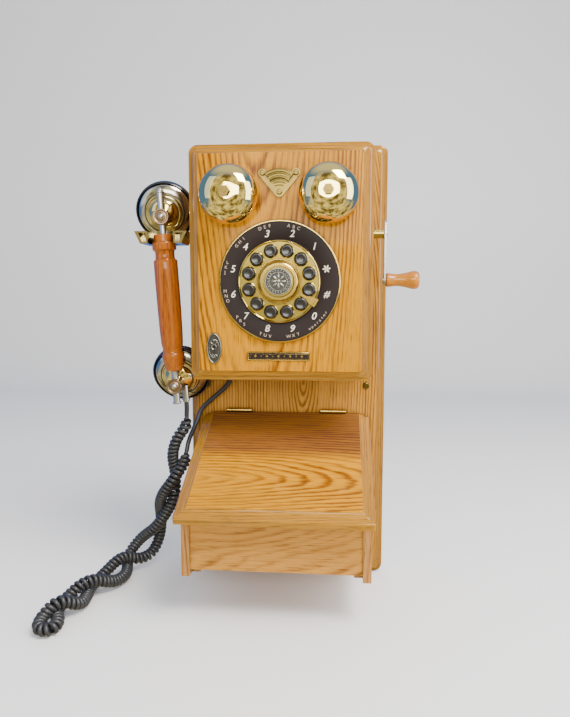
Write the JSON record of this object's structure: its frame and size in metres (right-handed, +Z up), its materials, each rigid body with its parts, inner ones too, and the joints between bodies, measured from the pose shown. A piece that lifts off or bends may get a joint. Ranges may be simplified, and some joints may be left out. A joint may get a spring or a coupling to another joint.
{
  "type": "wall crank telephone",
  "caption": "Oak wall telephone with round push-button dial, two brass gongs, side crank, sloping desk lid and a handset hung on a brass fork with a curly cord.",
  "frame": {"origin": "centre of the board's flat back face, which hangs against the wall", "axes": "+X to the right seen from the front, +Y into the wall (the front faces -Y), +Z up"},
  "size_m": [0.3692, 0.1817, 0.48],
  "materials": {
    "oak": "gloss",
    "red_wood": "gloss",
    "brass": "polished",
    "gong_brass": "polished",
    "pewter": "satin",
    "steel": "satin",
    "dial_black": "gloss",
    "black_plastic": "gloss",
    "cord_black": "satin",
    "circuit_green": "matte"
  },
  "bodies": {
    "base": {"backboard": "oak", "bell_left": "gong_brass", "bell_posts": "brass", "bell_right": "gong_brass", "brass_screws": "brass", "cabinet_bottom": "oak", "cabinet_side_left": "oak", "cabinet_side_right": "oak", "cabinet_top": "oak", "circuit_board": "circuit_green", "cord_coil": "cord_black", "cord_grommet": "black_plastic", "cord_lead_in": "cord_black", "cord_lead_out": "cord_black", "corner_blocks": "oak", "crank_bush": "brass", "desk_floor": "oak", "desk_front": "oak", "desk_sides": "oak", "dial_emblem": "pewter", "dial_plate": "dial_black", "dial_rim": "brass", "fan_bracket": "brass", "finger_stop": "brass", "finger_wheel": "brass", "front_panel": "oak", "hanger_plates": "steel", "hinge_leaves_board": "brass", "hook_switch": "steel", "key_escutcheon": "pewter", "keypad_board": "circuit_green", "line_jack": "black_plastic", "name_plate": "dial_black"},
    "button_star_body": {"button_star": "black_plastic"},
    "button_1_body": {"button_1": "black_plastic"},
    "button_2_body": {"button_2": "black_plastic"},
    "button_3_body": {"button_3": "black_plastic"},
    "button_4_body": {"button_4": "black_plastic"},
    "button_5_body": {"button_5": "black_plastic"},
    "button_6_body": {"button_6": "black_plastic"},
    "button_7_body": {"button_7": "black_plastic"},
    "button_8_body": {"button_8": "black_plastic"},
    "button_9_body": {"button_9": "black_plastic"},
    "button_0_body": {"button_0": "black_plastic"},
    "button_hash_body": {"button_hash": "black_plastic"},
    "crank": {"crank_shaft": "brass", "crank_arm": "steel"},
    "crank_grip": {"crank_handle": "red_wood"},
    "lid": {"desk_lid": "oak", "hinge_leaves_lid": "brass"},
    "hook": {"cradle_fork": "brass"},
    "handset": {"handset_grip": "red_wood", "handset_rod": "steel", "handset_clamps": "pewter", "handset_capsules": "black_plastic", "receiver_cup": "pewter", "receiver_cap": "black_plastic", "transmitter_cup": "pewter", "transmitter_cap": "black_plastic", "cord_gland": "pewter"}
  },
  "joints": [
    {"name": "press_star", "type": "slide", "parent": "base", "child": "button_star_body", "axis": [0, 1, 0], "range_m": [0, 0.0025], "stiffness_N_per_m": 120},
    {"name": "press_1", "type": "slide", "parent": "base", "child": "button_1_body", "axis": [0, 1, 0], "range_m": [0, 0.0025], "stiffness_N_per_m": 120},
    {"name": "press_2", "type": "slide", "parent": "base", "child": "button_2_body", "axis": [0, 1, 0], "range_m": [0, 0.0025], "stiffness_N_per_m": 120},
    {"name": "press_3", "type": "slide", "parent": "base", "child": "button_3_body", "axis": [0, 1, 0], "range_m": [0, 0.0025], "stiffness_N_per_m": 120},
    {"name": "press_4", "type": "slide", "parent": "base", "child": "button_4_body", "axis": [0, 1, 0], "range_m": [0, 0.0025], "stiffness_N_per_m": 120},
    {"name": "press_5", "type": "slide", "parent": "base", "child": "button_5_body", "axis": [0, 1, 0], "range_m": [0, 0.0025], "stiffness_N_per_m": 120},
    {"name": "press_6", "type": "slide", "parent": "base", "child": "button_6_body", "axis": [0, 1, 0], "range_m": [0, 0.0025], "stiffness_N_per_m": 120},
    {"name": "press_7", "type": "slide", "parent": "base", "child": "button_7_body", "axis": [0, 1, 0], "range_m": [0, 0.0025], "stiffness_N_per_m": 120},
    {"name": "press_8", "type": "slide", "parent": "base", "child": "button_8_body", "axis": [0, 1, 0], "range_m": [0, 0.0025], "stiffness_N_per_m": 120},
    {"name": "press_9", "type": "slide", "parent": "base", "child": "button_9_body", "axis": [0, 1, 0], "range_m": [0, 0.0025], "stiffness_N_per_m": 120},
    {"name": "press_0", "type": "slide", "parent": "base", "child": "button_0_body", "axis": [0, 1, 0], "range_m": [0, 0.0025], "stiffness_N_per_m": 120},
    {"name": "press_hash", "type": "slide", "parent": "base", "child": "button_hash_body", "axis": [0, 1, 0], "range_m": [0, 0.0025], "stiffness_N_per_m": 120},
    {"name": "crank_turn", "type": "hinge", "parent": "base", "child": "crank", "pos_m": [0.095, -0.048, 0.1413], "axis": [1, 0, 0], "range_deg": [-210, 31]},
    {"name": "crank_grip_spin", "type": "hinge", "parent": "crank", "child": "crank_grip", "pos_m": [0.124, -0.048, 0.0937], "axis": [1, 0, 0], "continuous": true},
    {"name": "lid_open", "type": "hinge", "parent": "base", "child": "lid", "pos_m": [0, -0.0197, -0.0511], "axis": [-1, 0, 0], "range_deg": [0, 50]},
    {"name": "handset_lift", "type": "slide", "parent": "base", "child": "handset", "axis": [-0.0645, 0, 0.9979], "range_m": [0, 0.02]},
    {"name": "hook_rise", "type": "hinge", "parent": "base", "child": "hook", "pos_m": [-0.052, -0.0452, 0.1386], "axis": [0, 1, 0], "range_deg": [0, 2.5]}
  ],
  "couplings": [
    {"joint": "hook_rise", "follows": "handset_lift", "rad_per_m": 2}
  ]
}
